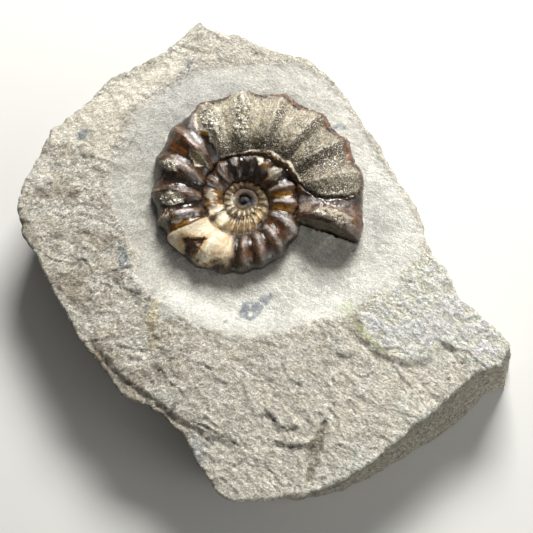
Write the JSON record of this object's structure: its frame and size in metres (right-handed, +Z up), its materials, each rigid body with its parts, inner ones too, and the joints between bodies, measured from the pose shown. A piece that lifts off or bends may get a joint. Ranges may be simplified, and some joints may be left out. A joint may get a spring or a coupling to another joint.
{
  "type": "ammonite fossil in matrix",
  "caption": "Coiled, strongly ribbed ammonite fossil bedded in a broken slab of pale limestone, lying on the slab's flat underside.",
  "frame": {"origin": "middle of the slab's outline, at the level of its flat underside", "axes": "+Z up out of the fossil's face, +Y towards the slab's pointed end beside the fossil, +X to the right as the fossil is looked at"},
  "size_m": [0.1069, 0.105, 0.0276],
  "materials": {
    "limestone": "dry, rough broken limestone, pale grey, smoother and lighter where it was prepared round the fossil",
    "calcite": "polished-looking dark brown to cream calcite shell, with a satin olive-grey rock filling where the shell is gone"
  },
  "bodies": {
    "root": {"matrix": "limestone", "ammonite": "calcite"}
  },
  "joints": []
}
